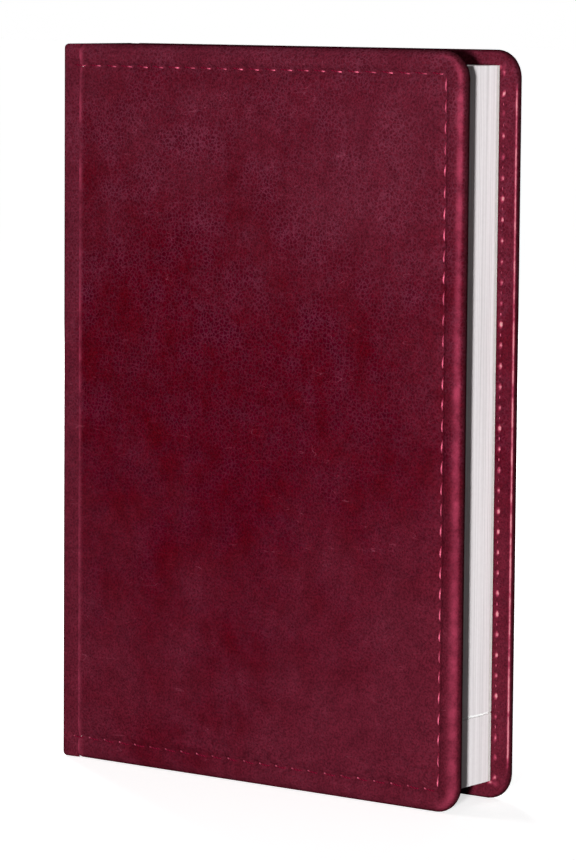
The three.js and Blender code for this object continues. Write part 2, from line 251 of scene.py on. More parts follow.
# %% [markdown]
# ## Soft boxes
# The key is a small box low at the front right: the photograph has a dark, sharp shadow of the
# front cover on the leaves. The covers and the leaves are lit at a slant, so its level is above 1.
# The two large boxes behind only keep the back and the spine from going black in views from there.

# %% Soft boxes
LAMP_DISTANCE = 1.5
LAMP_AIM = Vector((0.0, 0.0, 0.11))


def soft_box(name, azimuth, elevation, width, height, level):
    """A soft box; azimuth counts from the front to the right, and level 1 shows a colour as written."""
    azimuth, elevation = math.radians(azimuth), math.radians(elevation)
    level_way = Vector((math.sin(azimuth), -math.cos(azimuth), 0.0)) * math.cos(elevation)
    heading = level_way + Vector((0.0, 0.0, math.sin(elevation)))
    bpy.ops.object.light_add(type="AREA", location=LAMP_AIM + heading * LAMP_DISTANCE)
    lamp = bpy.context.object
    lamp.name = name
    lamp.rotation_euler = heading.to_track_quat("Z", "Y").to_euler()
    lamp.data.shape = "RECTANGLE"
    lamp.data.size = width
    lamp.data.size_y = height
    lamp.data.energy = level * math.pi**2 * LAMP_DISTANCE**2


soft_box("key_soft_box", azimuth=29, elevation=3, width=0.07, height=0.12, level=1.68)
soft_box("back_soft_box", azimuth=-128, elevation=18, width=0.5, height=0.6, level=0.8)
soft_box("left_soft_box", azimuth=-70, elevation=28, width=0.5, height=0.6, level=0.2)

# %% [markdown]
# ## Leatherette
# Leatherette is a cloth coated with soft PVC, whose surface is embossed with a fine leather grain
# by a roller and then printed darker and lighter, so that it looks like worn hide. The eye sees
# three scales: clouds of two reds about a centimetre wide, a net of creases about a millimetre
# wide, paler in dry-looking patches, and a few stray hairlines. All are worked out from object
# coordinates, so the grain keeps its real size on every piece. The photograph shows no mirror-like
# highlights, so the material has no specular part: its sheen is painted as a greyer haze, in broad
# clouds and towards the edges, and the shine on ridges and edges is a painted highlight, a paler
# colour from an attribute stored on the mesh, which partly stands for wear.

# %% Leatherette material
GRAIN_MM = 1.2
CLOUD_MM = 30.0
DYE_MM = 14.0
SHEEN_RAMPS = (  # where the painted sheen grows: axis, begin, end and amount
    ("Z", 0.125, 0.2, 0.4), ("Z", 0.1, 0.03, 0.46), ("X", -0.01, 0.07, 0.33),
    ("X", -0.064, -0.0685, 0.8), ("Z", 0.2065, 0.211, 0.3),
)


def leatherette(name):
    material, tree, shader, spots = new_material(name)
    spot = spots["Object"]
    axes = axes_of(tree, spot)
    fine = clouded(tree, spot, 0.6, 3.0)
    broad = clouded(tree, spot, 3.4, 4.0, 0.6)
    dye = clouded(tree, spot, DYE_MM, 6.0, 0.7)
    # The embossed grain: bent cells between fine creases
    drift = add_node(tree, "ShaderNodeTexNoise", {"Vector": spot, "Scale": 900.0, "Detail": 2.0})
    bend = {0: drift.outputs["Color"], 1: (0.0011, 0.0011, 0.0011), 2: spot}
    bent = add_node(tree, "ShaderNodeVectorMath", bend, operation="MULTIPLY_ADD").outputs[0]
    grain = {"Vector": bent, "Scale": 1 / (GRAIN_MM * MM)}
    cells = add_node(tree, "ShaderNodeTexVoronoi", grain, feature="DISTANCE_TO_EDGE").outputs["Distance"]
    crease = remap(tree, cells, 0.0, 0.22, kind="SMOOTHSTEP")
    # The print: two reds. Over them a painted sheen, a greyer haze in clouds and towards the head,
    # the tail, the joint and the fore edge
    level = clouded(tree, spot, CLOUD_MM, 3.0, 0.62)
    for axis, begin, end, most in SHEEN_RAMPS:
        level = maths(tree, "ADD", level, remap(tree, axes[axis], begin, end, 0.0, most))
    painted_sheen = remap(tree, level, 0.54, 1.2, kind="SMOOTHSTEP")
    reds = mixed(tree, remap(tree, dye, 0.34, 0.66), "#47020b", "#400315")
    tone = remap(tree, broad, 0.32, 0.7, 0.84, 1.14)
    speck = remap(tree, fine, 0.36, 0.6, 0.62, 1.08)
    # The greyer colour is the painted sheen
    ink = {"Color": mixed(tree, painted_sheen, reds, "#4f1421"), "Value": maths(tree, "MULTIPLY", tone, speck)}
    colour = add_node(tree, "ShaderNodeHueSaturation", ink).outputs[0]
    # In dry-looking patches, most of them near the head, the creases show lighter and greyer
    dry = remap(tree, dye, 0.4, 0.72, 0.06, 0.34)
    near_head = remap(tree, axes["Z"], 0.08, 0.17, 0.35)
    pale = maths(tree, "MULTIPLY", remap(tree, crease, 0.0, 1.0, dry, 0.0), near_head)
    colour = mixed(tree, pale, colour, "#7a3a4e")
    # Stray hairlines are where a slow, slanted noise crosses its middle value
    slant = {"Vector": spot, "Rotation": (0.0, 0.7, 0.0), "Scale": (0.6, 1.0, 3.2)}
    slant = add_node(tree, "ShaderNodeMapping", slant).outputs[0]
    stray = {"Vector": slant, "Scale": 1 / (20.0 * MM), "Detail": 2.0, "Distortion": 0.1}
    stray = add_node(tree, "ShaderNodeTexNoise", stray).outputs[0]
    gap = maths(tree, "ABSOLUTE", maths(tree, "SUBTRACT", stray, 0.5))
    hair = remap(tree, gap, 0.0, 0.003, 1.0, 0.0)
    wisp = maths(tree, "MULTIPLY", hair, remap(tree, broad, 0.5, 0.62, 0.0, 0.17))
    colour = mixed(tree, wisp, colour, "#a8566c")
    # Where the skin is stretched over an edge, a pleat or a dent a highlight is painted paler, which
    # partly stands for wear (the attribute above 0); the narrow face of the edge is made darker
    # (below 0)
    highlight_and_wear = attribute(tree, "highlight_and_wear")
    painted_highlight = maths(tree, "MULTIPLY", highlight_and_wear, remap(tree, broad, 0.35, 0.62, 0.35, 0.8))
    # Paler colours for the painted highlight
    colour = mixed(tree, painted_highlight, colour, "#98364e")
    colour = mixed(tree, remap(tree, painted_highlight, 0.7, 1.3, 0.0, 0.8), colour, "#b87a80")
    # A dark colour for the narrow face of the edge
    colour = mixed(tree, remap(tree, highlight_and_wear, 0.0, -1.0), colour, "#1c0a0c")
    height = maths(tree, "MULTIPLY_ADD", broad, 1.6, maths(tree, "MULTIPLY_ADD", fine, 0.9, crease))
    dress(tree, shader, colour, height, strength=0.8, depth_mm=0.09)
    tree.links.new(remap(tree, broad, 0.0, 1.0, 0.2, 0.42), shader.inputs["Roughness"])
    shader.inputs["Specular IOR Level"].default_value = 0.0
    return material


leather = leatherette("pvc_leatherette_burgundy")

# %% [markdown]
# ## Seam thread
# The seam is sewn with a bonded polyester thread of two plies, dyed a brighter red than the skin.
# A real ply is about 0.25 mm wide, finer than a pixel, so the slanted ridges of the twist are drawn
# 0.5 mm apart, with painted shade in the grooves between them. The attribute shine says where a
# stitch rises out of its hole and catches the light; a paler painted glint stands for that light.

# %% Thread materials
PLY_MM = 0.5


def twisted_thread(name, light, dark, glint, roughness):
    material, tree, shader, spots = new_material(name)
    plies = banded(tree, spots["Object"], PLY_MM, "DIAGONAL", Distortion=1.2, Detail=1.0)
    patch = remap(tree, clouded(tree, spots["Object"], 2.4, 1.0), 0.4, 0.6, 0.4)
    # A painted glint: paler where the attribute shine is high, in patches
    spark = maths(tree, "MULTIPLY", attribute(tree, "shine"), patch)
    # The grooves of the twist are painted darker as shade, and the glint is laid over them
    colour = mixed(tree, spark, mixed(tree, plies, dark, light), glint)
    dress(tree, shader, colour, plies, strength=0.6, depth_mm=0.08)
    shader.inputs["Roughness"].default_value = roughness
    shader.inputs["Specular IOR Level"].default_value = 0.0
    return material


# The last colour of each thread is its painted glint
seam_thread = twisted_thread("bonded_polyester_thread_red", "#70102a", "#440716", "#dc6480", 0.35)
sewing_thread = twisted_thread("linen_sewing_thread", "#efe9da", "#cfc6b0", "#f6f1e6", 0.6)

# %% [markdown]
# ## Paper
# The leaves are uncoated offset paper, cut square in a guillotine. The cut edges are whiter than
# the flat of a page: the flat is painted darker, a painted shade that keeps pages facing the key
# light from burning out. On the cut edges the eye sees hundreds of leaves as faint lines. A leaf is
# finer than a pixel, so groups about 0.4 mm wide are drawn. Pale grey rules are printed 7 mm apart.

# %% Paper materials
LEAF_GROUP_MM = 0.4
RULE_PITCH = 7.0
RULE_WIDTH = 0.32
RULED_RISE = (16.5, 186.5)
RULED_X = (-48.5, 57.5)  # from the middle of the diary
SLIT_SHADE = (24.55, 24.7, 0.6, "#6e6462")  # the painted shade in the slit: its lower and upper edge, its strength and its colour
FIBRES = (24.7, 25.3, 1.0, "#ffffff")


def cut_edges(tree, spots, page, flat):
    """The page colour with the cut edges of the leaves drawn on it, and the height of their lines."""
    stretch = {0: spots["Object"], 1: (12.0, 1 / (LEAF_GROUP_MM * MM), 12.0)}
    stretch = add_node(tree, "ShaderNodeVectorMath", stretch, operation="MULTIPLY").outputs[0]
    lines = {"Vector": stretch, "Scale": 1.0, "Detail": 2.0}
    lines = add_node(tree, "ShaderNodeTexNoise", lines).outputs[0]
    facing = maths(tree, "ABSOLUTE", axes_of(tree, spots["Normal"])["Y"])
    edge = remap(tree, facing, 0.3, 0.6, 1.0, 0.0)
    faint = maths(tree, "MULTIPLY", remap(tree, lines, 0.35, 0.75, 0.0, 0.5), edge)
    colour = mixed(tree, faint, page, "#b9b3b3")
    # The line of torn-off corners: a slit painted dark as shade, with raised white fibres above it
    shake = clouded(tree, spots["Object"], 1.6, 2.0)
    over = maths(tree, "MULTIPLY_ADD", shake, -0.9 * MM, axes_of(tree, spots["Object"])["Z"])
    for low, high, most, ink in (SLIT_SHADE, FIBRES):
        above = maths(tree, "GREATER_THAN", over, low * MM)
        below = maths(tree, "LESS_THAN", over, high * MM)
        band = maths(tree, "MULTIPLY", maths(tree, "MULTIPLY", above, below), edge)
        colour = mixed(tree, maths(tree, "MULTIPLY", band, most), colour, ink)
    # The flat of the pages takes its own darker colour, a painted shade
    return mixed(tree, edge, flat, colour), lines


def rule_lines(tree, spot, rise, colour):
    """The colour with rules across it at a steady pitch of rise, inside the margins."""
    axes = axes_of(tree, spot)
    phase = maths(tree, "FLOORED_MODULO", axes[rise], RULE_PITCH * MM)
    line = maths(tree, "LESS_THAN", phase, RULE_WIDTH * MM)
    for axis, (low, high) in ((rise, RULED_RISE), ("X", RULED_X)):
        line = maths(tree, "MULTIPLY", line, maths(tree, "GREATER_THAN", axes[axis], low * MM))
        line = maths(tree, "MULTIPLY", line, maths(tree, "LESS_THAN", axes[axis], high * MM))
    return mixed(tree, maths(tree, "MULTIPLY", line, 0.75), colour, "#8f8d96")


def paper(name, light, shade, source="Object", ruled=False, flat=None):
    """Paper; with a colour for the flat of its pages, painted darker as shade, it shows cut edges too."""
    material, tree, shader, spots = new_material(name)
    height = clouded(tree, spots[source], 1.2, 3.0)
    colour = mixed(tree, remap(tree, height, 0.3, 0.7, 0.0, 0.45), light, shade)
    if flat:
        colour, height = cut_edges(tree, spots, colour, flat)
    if ruled:
        colour = rule_lines(tree, spots[source], "Y" if source == "UV" else "Z", colour)
    dress(tree, shader, colour, height, strength=0.25, depth_mm=0.06)
    shader.inputs["Roughness"].default_value = 0.85
    shader.inputs["Specular IOR Level"].default_value = 0.04
    return material


# The flat of pages, flyleaves and end papers is toned to about 78 to 80 per cent, a painted shade against
# the key light
block_paper = paper("offset_paper_cut_edges", "#fdf8fa", "#f4eef0", ruled=True, flat="#c8c3c1")
leaf_paper = paper("offset_paper_ruled_leaf", "#c8c3c1", "#beb9b7", source="UV", ruled=True)
end_paper = paper("white_end_paper", "#cbc7c4", "#c0bcb9", source="UV")
pasted_paper = paper("white_end_paper_pasted", "#cbc7c4", "#c0bcb9")
kraft = paper("brown_kraft_lining", "#a98860", "#8f6f4b")
greyboard = paper("pressed_greyboard", "#9a9388", "#7f796f")

# %% [markdown]
# ## Cloth, glue and foam
# The gauze on the spine is an open cotton weave, the bands are striped cotton, the glue is a dried
# film and the padding is thin polyurethane foam. They hardly show, so their graphs are short.

# %% Small materials
STRIPE_MM = 2.6


def woven(name, warp, weft, pitch_mm, stripe=None):
    material, tree, shader, spots = new_material(name)
    across = banded(tree, spots["Object"], pitch_mm, "Y")
    weave = maths(tree, "MULTIPLY", across, banded(tree, spots["Object"], pitch_mm, "Z"))
    colour = mixed(tree, weave, weft, warp)
    if stripe:
        pick = maths(tree, "GREATER_THAN", banded(tree, spots["Object"], STRIPE_MM, "Y"), 0.5)
        colour = mixed(tree, pick, colour, stripe)
    dress(tree, shader, colour, weave, strength=0.7, depth_mm=0.1)
    shader.inputs["Roughness"].default_value = 0.8
    shader.inputs["Sheen Weight"].default_value = 0.2
    return material


def cast_film(name, light, dark, grain_mm, roughness):
    material, tree, shader, spots = new_material(name)
    cells = clouded(tree, spots["Object"], grain_mm, 4.0)
    dress(tree, shader, mixed(tree, cells, dark, light), cells, strength=0.5, depth_mm=0.1)
    shader.inputs["Roughness"].default_value = roughness
    return material


finishes = {
    "leatherette": leather,
    "seam_thread": seam_thread,
    "greyboard": greyboard,
    "foam": cast_film("polyurethane_foam", "#e9e6dc", "#c3bfb2", 0.5, 0.95),
    "page_paper": block_paper,
    "end_paper": pasted_paper,
    "kraft_paper": kraft,
    "gauze": woven("cotton_mull_gauze", "#e8e3d4", "#b9b29d", 0.9),
    "glue": cast_film("dried_binding_glue", "#d9c79a", "#b79f6c", 2.0, 0.35),
    "sewing_thread": sewing_thread,
    "band_cloth": woven("cotton_band_cloth", "#efe8e0", "#cfc5bb", 0.35, stripe="#8a1530"),
}
for node in nodes.values():
    for holder in node.material_slots:
        holder.material = finishes[holder.material.name.split(".")[0]]
print("materials:", sorted(m.name for m in finishes.values()))

# %% [markdown]
# ## Modelling helpers
# Every new piece starts from one of Blender's primitives and is shaped in edit mode. The helpers
# open and close edit mode, choose faces or edges by their place, and hand the finished piece to the
# frame: its material, its body and the CAD nodes that it stands for.

# %% Modelling helpers


@contextmanager
def editing(piece):
    bpy.context.view_layer.objects.active = piece
    bpy.ops.object.mode_set(mode="EDIT")
    yield
    bpy.ops.object.mode_set(mode="OBJECT")


def choose(kind, test):
    """In edit mode, selects the faces or edges for which test(element) is true."""
    bpy.ops.mesh.select_mode(type=kind)
    bpy.ops.mesh.select_all(action="DESELECT")
    shape = bmesh.from_edit_mesh(bpy.context.edit_object.data)
    for element in {"FACE": shape.faces, "EDGE": shape.edges}[kind]:
        if test(element):
            element.select_set(True)
    shape.select_flush_mode()
    bmesh.update_edit_mesh(bpy.context.edit_object.data)


def middle_of(element):
    return sum((v.co for v in element.verts), Vector()) / len(element.verts)


def shaped(name, scale=(1.0, 1.0, 1.0)):
    """Names the piece that was just added, scales it and applies its place, turn and scale."""
    piece = bpy.context.object
    piece.name = name
    piece.scale = [old * new for old, new in zip(piece.scale, scale)]
    bpy.ops.object.transform_apply(location=True, rotation=True, scale=True)
    return piece


def block(name, low, high):
    """A box between two places in millimetres, as the start of a piece."""
    low, high = place(*low), place(*high)
    bpy.ops.mesh.primitive_cube_add(size=1.0, location=(low + high) / 2, scale=high - low)
    return shaped(name)


def grid(name, columns, rows, middle, wide, high, turn=0.0):
    """An upright grid round a place in metres, turned about z; its sizes are in metres."""
    upright = (math.pi / 2, 0.0, turn)
    bpy.ops.mesh.primitive_grid_add(
        x_subdivisions=columns, y_subdivisions=rows, size=1.0, location=middle, rotation=upright
    )
    return shaped(name, (wide, high, 1.0))


def cut(axis, values):
    """In edit mode, cuts the whole piece across axis at each value in metres."""
    normal = [1.0 if i == axis else 0.0 for i in range(3)]
    for value in values:
        bpy.ops.mesh.select_all(action="SELECT")
        bpy.ops.mesh.bisect(plane_co=[n * value for n in normal], plane_no=normal)


def face_outwards(piece):
    with editing(piece):
        bpy.ops.mesh.select_all(action="SELECT")
        bpy.ops.mesh.normals_make_consistent(inside=False)


def modify(piece, kind, **settings):
    bpy.ops.object.modifier_add(type=kind)
    modifier = piece.modifiers[-1]
    for key, value in settings.items():
        setattr(modifier, key, value)
    bpy.ops.object.modifier_apply(modifier=modifier.name)


def coordinates(piece):
    """The piece's corners as an array in the diary's millimetres."""
    flat = np.empty(len(piece.data.vertices) * 3)
    piece.data.vertices.foreach_get("co", flat)
    corners = flat.reshape(-1, 3) / MM
    corners[:, 0] += SPINE_TO_MIDDLE
    return corners


def move_to(piece, corners):
    """Puts the piece's corners at these places in the diary's millimetres."""
    metres = corners * MM
    metres[:, 0] -= SPINE_TO_MIDDLE * MM
    piece.data.vertices.foreach_set("co", metres.ravel())
    piece.data.update()


def store(piece, name, values):
    """Stores a value on each corner of the mesh, for the materials to read."""
    made = piece.data.attributes.new(name, "FLOAT", "POINT")
    made.data.foreach_set("value", values.astype(np.float32))


def flat_uv(piece):
    """Stores the place on the flat sheet, in metres, so that a print follows the paper when it bends."""
    flat = np.empty(len(piece.data.vertices) * 3)
    piece.data.vertices.foreach_get("co", flat)
    corner = np.empty(len(piece.data.loops), dtype=int)
    piece.data.loops.foreach_get("vertex_index", corner)
    piece.data.uv_layers[0].data.foreach_set("uv", flat.reshape(-1, 3)[corner][:, [0, 2]].ravel())


def smooth(piece, degrees):
    bpy.ops.object.select_all(action="DESELECT")
    piece.select_set(True)
    bpy.context.view_layer.objects.active = piece
    bpy.ops.object.shade_smooth_by_angle(angle=math.radians(degrees))


def hand_over(piece, material, stands_for=(), body=None):
    """Gives a finished piece its material, hides the CAD nodes that it stands for, and attaches it to its
    body if it has one.
    """
    piece.data.name = piece.name
    piece.data.materials.clear()
    piece.data.materials.append(material)
    if stands_for:
        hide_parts(*stands_for)
    if body:
        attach(piece, body)


# %% [markdown]
# ## How the seam pulls the skin down
# The needle thread draws the skin into the foam, so the seam lies in a soft channel with a dimple
# at each needle hole, and small folds run out from the holes. It is worked out as a depth for any
# place on the cover, so the cover and the strip in the joint share the same channel.

# %% Seam coordinates and channel depth
ACROSS_PITCH = (SEAM_X - SEAM_START) / STITCHES_ACROSS
DOWN_PITCH = (SEAM_TOP - SEAM_INSET) / STITCHES_DOWN
CHANNEL_LIMIT = 1.25  # the foam lies 1.4 mm deep under the seam


def unit(value):
    """The value, held between 0 and 1."""
    return np.clip(value, 0, 1)


def hump(value, width):
    """A smooth hump: 1 where the value is 0, and nearly 0 beyond twice the width."""
    return np.exp(-((value / width) ** 2))


def seam_coordinates(x, z):
    """Signed distance outwards from the seam, and distance along it from the nearest needle hole."""
    to_head = z - SEAM_TOP
    to_fore = x - SEAM_X
    to_tail = SEAM_INSET - z
    outwards = np.maximum(np.maximum(to_head, to_tail), to_fore)
    run = np.argmax(np.stack([to_head, to_fore, to_tail]), axis=0)
    along = np.where(run == 1, SEAM_TOP - z, SEAM_X - x)
    pitch = np.where(run == 1, DOWN_PITCH, ACROSS_PITCH)
    hole = np.round(along / pitch)
    return outwards, along - hole * pitch, pitch, hole + 50 * run


def hole_change(hole, step):
    """A small number from 0 to 1 for each needle hole, the same in every run."""
    return np.modf(np.abs(np.sin(hole * 12.9898 + step * 78.233)) * 43758.5453)[0]


def channel(x, z, side, first_x):
    """How deep the seam pulls the skin in, in millimetres, at each place on the outer face."""
    out, along, pitch, hole = seam_coordinates(x, z)
    change = hole_change(hole, side)
    on_panel = out < 0
    # The trough, and the slow fall towards it from the panel and from the rim
    depth = 0.8 * np.exp(-np.abs(out / np.where(on_panel, 1.25, 1.0)) ** 1.7)
    depth += np.where(on_panel, 0.26 * np.exp(out / 3.4), 0.1 * np.exp(-out / 1.4))
    # A dimple at each needle hole, a swelling between two, and folds out from each
    depth += (0.3 + 0.25 * change) * hump(along, 0.75) * hump(out, 0.75)
    depth -= 0.2 * hump(out, 1.1) * (0.5 - 0.5 * np.cos(2 * np.pi * along / pitch))
    depth += (0.05 + 0.08 * change) * hump(along, 0.55) * np.exp(-np.abs(np.abs(out) - 0.8) / 1.5)
    corner = np.hypot(x - SEAM_X, np.minimum(np.abs(z - SEAM_TOP), np.abs(z - SEAM_INSET)))
    depth *= 1.0 - 0.35 * hump(corner, 1.5)
    return np.minimum(depth, CHANNEL_LIMIT) * unit((x - first_x) / 1.2)


def soft_noise(corners, size_mm, seed):
    """A smooth noise from -1 to 1 at each corner, with clouds of about size_mm."""
    return np.array([noise.noise(Vector(c) / size_mm + Vector((seed, 0, 0))) for c in corners])


print("stitches:", STITCHES_ACROSS, "across and", STITCHES_DOWN, "down,", round(DOWN_PITCH, 2), "mm each")

# %% [markdown]
# ## Cover skins
# The skin is one piece of leatherette drawn over board and foam, turned over the edges and glued
# down inside, where it is gathered into small pleats round the fore corners. It starts as a flat
# grid for the middle of the panel. Its border is extruded ring by ring, and each ring is then laid
# on its own outline, a rectangle with rounded fore corners. The rings are cut three times finer
# than the grid, so that each needle hole gets its dimple.

# %% Rings of the cover skin
BASE_INSET = 12.0
BASE_JOINT_INSET = 7.0
GRID_STEP = 1.75
CORNER_ZONE = 7.0
OUTSIDE_INSETS = (
    10.9, 10.0, 9.2, 8.6, 8.1, 7.7, 7.35, 7.05, 6.75, 6.4, 6.05, 5.75, 5.45, 5.1,
    4.7, 4.2, 3.6, 3.05, 2.5, 2.0, 1.5, 1.1, 0.75, 0.45, 0.22, 0.07, 0.0,
)
INSIDE_INSETS = (1.6, 2.0, 2.5, 3.1, 3.6, 4.0, 4.3, 4.6, 4.9, 5.2, 5.5, 5.8, 6.3, 7.0, 7.8, 8.7, TURN_IN)
EDGE_STEPS = 5


def joint_inset_outside(inset):
    """The rings crowd together at the joint, where the edge is rounder and has no seam."""
    if inset <= EDGE_ROUND:
        return inset * JOINT_ROUND / EDGE_ROUND
    share = (inset - EDGE_ROUND) / (BASE_INSET - EDGE_ROUND)
    return JOINT_ROUND + share * (BASE_JOINT_INSET - JOINT_ROUND)


def joint_inset_inside(inset):
    """Inside the joint the skin isn't turned in, so the rings lie closer still."""
    if inset <= INNER_ROUND:
        return inset
    return INNER_ROUND + (inset - INNER_ROUND) * 0.6 / (TURN_IN - INNER_ROUND)


def cover_rings():
    """Each ring as its inset, its inset at the joint, its depth and the part that it lies on."""
    rings = []
    for inset in OUTSIDE_INSETS:
        turn = 1.0 - min(inset / EDGE_ROUND, 1.0)
        fall = EDGE_DEPTH * (0.64 * turn * turn + 0.36 * (1.0 - math.sqrt(1.0 - turn * turn)))
        rings.append((inset, joint_inset_outside(inset), fall, "outside"))
    rings.append((0.0, 0.0, (EDGE_DEPTH + FLAT_DEPTH) / 2, "edge"))
    for step in range(EDGE_STEPS + 1):
        turn = step / EDGE_STEPS * math.pi / 2
        inset = INNER_ROUND * (1.0 - math.cos(turn))
        rings.append((inset, inset, FLAT_DEPTH + (COVER_THICKNESS - FLAT_DEPTH) * math.sin(turn), "inside"))
    for inset in INSIDE_INSETS:
        rings.append((inset, joint_inset_inside(inset), COVER_THICKNESS, "inside"))
    for further, raised in ((0.04, 0.12), (0.05, 0.58)):
        at_joint = joint_inset_inside(TURN_IN) + further
        rings.append((TURN_IN + further, at_joint, COVER_THICKNESS - raised, "hem"))
    return rings


RINGS = cover_rings()
print("rings on each cover skin:", len(RINGS))


def corner_path(share, radius, reach):
    """A place on half a corner: distances from the corner of the sharp outline, along and inwards."""
    arc = radius * math.pi / 4
    travelled = share * (arc + reach - radius)
    turn = math.pi / 4 - np.minimum(travelled, arc) / max(radius, 1e-6)
    on_arc = travelled < arc
    along = np.where(on_arc, radius - radius * np.sin(turn), radius + travelled - arc)
    inwards = np.where(on_arc, radius - radius * np.cos(turn), 0.0)
    return along, inwards


def lay_ring(x, z, inset, joint_inset):
    """Moves corners from the outline of the flat grid out to a ring's own outline."""
    base = ((JOINT_X + BASE_JOINT_INSET, COVER_WIDTH - BASE_INSET), (BASE_INSET, COVER_HEIGHT - BASE_INSET))
    ring = ((JOINT_X + joint_inset, COVER_WIDTH - inset), (inset, COVER_HEIGHT - inset))
    radii = (max(JOINT_CORNER - joint_inset, 0.0), max(FORE_CORNER - inset, 0.0))
    flat, laid = (x, z), (x.copy(), z.copy())
    done = np.zeros(len(x), dtype=bool)
    # The sides at head and tail run along x and come first, then those at joint and fore edge
    for run, across in ((0, 1), (1, 0)):
        for side, inward in ((0, 1), (1, -1)):
            on_side = (np.abs(flat[across] - base[across][side]) < 1e-3) & ~done
            done |= on_side
            laid[across][on_side] = ring[across][side]
            for end, way in ((0, 1), (1, -1)):
                from_end = np.abs(flat[run] - base[run][end])
                part = on_side & (from_end < CORNER_ZONE)
                reach = CORNER_ZONE + abs(ring[run][end] - base[run][end])
                radius = radii[end] if run == 0 else radii[side]
                along, inwards = corner_path(from_end[part] / CORNER_ZONE, radius, reach)
                laid[run][part] = ring[run][end] + way * along
                laid[across][part] = ring[across][side] + inward * inwards
    return laid


# %% Extrude the rings


def ring_attribute(ring):
    """In edit mode, writes the ring's number on the selected corners."""
    shape = bmesh.from_edit_mesh(bpy.context.edit_object.data)
    layer = shape.verts.layers.int.get("ring") or shape.verts.layers.int.new("ring")
    for corner in shape.verts:
        if corner.select:
            corner[layer] = ring


def cover_grid(name):
    """The flat grid with all its rings extruded on the spot, and the hole behind closed."""
    wide = COVER_WIDTH - BASE_INSET - JOINT_X - BASE_JOINT_INSET
    high = COVER_HEIGHT - 2 * BASE_INSET
    middle = place(JOINT_X + BASE_JOINT_INSET + wide / 2, 0.0, COVER_HEIGHT / 2)
    piece = grid(name, round(wide / GRID_STEP), round(high / GRID_STEP), middle, wide * MM, high * MM)
    with editing(piece):
        for ring in range(1, len(RINGS) + 1):
            if ring < 3:
                choose("EDGE", lambda edge: edge.is_boundary)
            if ring == 2:
                bpy.ops.mesh.subdivide(number_cuts=2)
                choose("EDGE", lambda edge: edge.is_boundary)
                ring_attribute(1)
            bpy.ops.mesh.extrude_edges_move()
            ring_attribute(ring)
        bpy.ops.mesh.edge_face_add()
    return piece


# %% [markdown]
# ### Relief, painted highlights and wear of the skin
# Small shapes are laid over the rings, in millimetres: the seam's channel, a swelling beside it and
# soft waves on the outside; a ridge along the rim, the dents of the bobbin thread and the pleats on
# the inside. They also say where a highlight is painted on the skin, which partly stands for wear,
# and where the narrow face of the edge is made darker.

# %% Relief, painted highlights and wear


def pleats(x, z):
    """Height of the pleats in the turned-in skin, which fan out round the fore corners."""
    height = np.zeros_like(x)
    for corner_z, way in ((COVER_HEIGHT, -1), (0.0, 1)):
        from_x = x - (COVER_WIDTH - TURN_IN - 1.0)
        from_z = (corner_z + way * (TURN_IN + 1.0) - z) * way
        reach = np.hypot(from_x, from_z)
        angle = np.arctan2(from_z, from_x)
        inside = (from_x > -1.0) & (from_z > -1.0)
        fan = unit(np.sin(2 * angle)) ** 0.5
        ridge = np.abs(np.sin(angle * 9.5 + 0.25 * np.sin(reach * 1.7))) ** 0.6
        height += np.where(inside, fan * (ridge - 0.55) * 0.42 * unit((reach - 1.5) / 5.0), 0.0)
    return height


def rim_highlight(x, z, inset):
    """Painted highlight, partly wear, on the rim's crest, most at the fore edge, and in a line by the
    joint.
    """
    fore = unit((x - COVER_WIDTH + 10.0) / 6.0)
    low = 1.0 - z / COVER_HEIGHT
    crest = hump(inset - 1.45, 0.6 + 0.7 * low)
    return crest * (0.14 + fore * (1.1 - 0.5 * low)) + 0.8 * hump(x - JOINT_X - 1.2, 0.9)


def inner_relief(x, z, inset, side):
    """How much lower the turned-in skin lies than a flat one, and its painted highlight, partly wear."""
    out, along, _, hole = seam_coordinates(x, z)
    out -= SEAM_SLANT
    rise = 0.22 * hump(inset - 0.9, 0.5) * (x > JOINT_X + 3)
    dent = 0.06 * hump(out, 0.5) + 0.42 * hump(along, 0.9) * hump(out, 0.7)
    dent *= (x > JOINT_X + 2.5) * (0.7 + 0.5 * hole_change(hole, side + 3))
    flatter = 0.35 if inset > 5.6 else 1.0
    folds = pleats(x, z) * flatter * min(inset / 1.2, 1.0)
    straight = unit(np.minimum(z, COVER_HEIGHT - z) / 4.0 - 2.2)
    # Painted highlights, partly standing for wear: on the inner rim, on the tops of the pleats and round
    # the dents
    highlight_and_wear = 0.03 + 2.3 * hump(inset - 0.5, 0.12) * straight * (x > JOINT_X + 6)
    highlight_and_wear += np.clip(1.6 * folds / 0.06 - 4.4, 0, 1.3) + np.clip((dent - 0.18) / 0.1, 0, 2.0)
    return rise - dent + folds, highlight_and_wear


def outer_relief(x, z, side):
    """How much lower the outer face lies than a flat one, and how much painted highlight and wear is kept.
    """
    edge = np.minimum(np.minimum(z, COVER_HEIGHT - z), COVER_WIDTH - x)
    spots = np.stack([x, np.zeros_like(x), z], axis=1)
    waves = 0.06 * soft_noise(spots, 16.0, 3.0 + side) + 0.025 * soft_noise(spots, 5.0, 9.0 + side)
    sink = (channel(x, z, side, -2.0) + waves) * unit(edge / 1.6) * unit((x - JOINT_X) / 0.8)
    sink -= 0.16 * hump(edge - 3.2, 1.5) * unit((x - JOINT_X) / 6.0)
    steady = 0.3 + 0.7 * unit(z / COVER_HEIGHT * 1.4 - 0.4)
    return sink, np.clip(0.72 + steady * soft_noise(spots, 5.0, 20.0 + side), 0.25, 1.15)


def darker_edge_face(numbers, corners):
    """How much darker the narrow face of the edge is made, near the fore edge."""
    rim = np.array([0.0] + [2.0 * inset if part == "inside" else inset for inset, _, _, part in RINGS])
    narrow = 0.45 + 0.4 * corners[:, 2] / COVER_HEIGHT
    dark = 0.7 * unit((corners[:, 0] - 105.0) / 34.0) ** 2
    return np.where(numbers > 0, dark * hump(rim[numbers], narrow), 0.0)


# %% Cover skins
OUTSIDE_HIGHLIGHT_LIMIT = 0.85


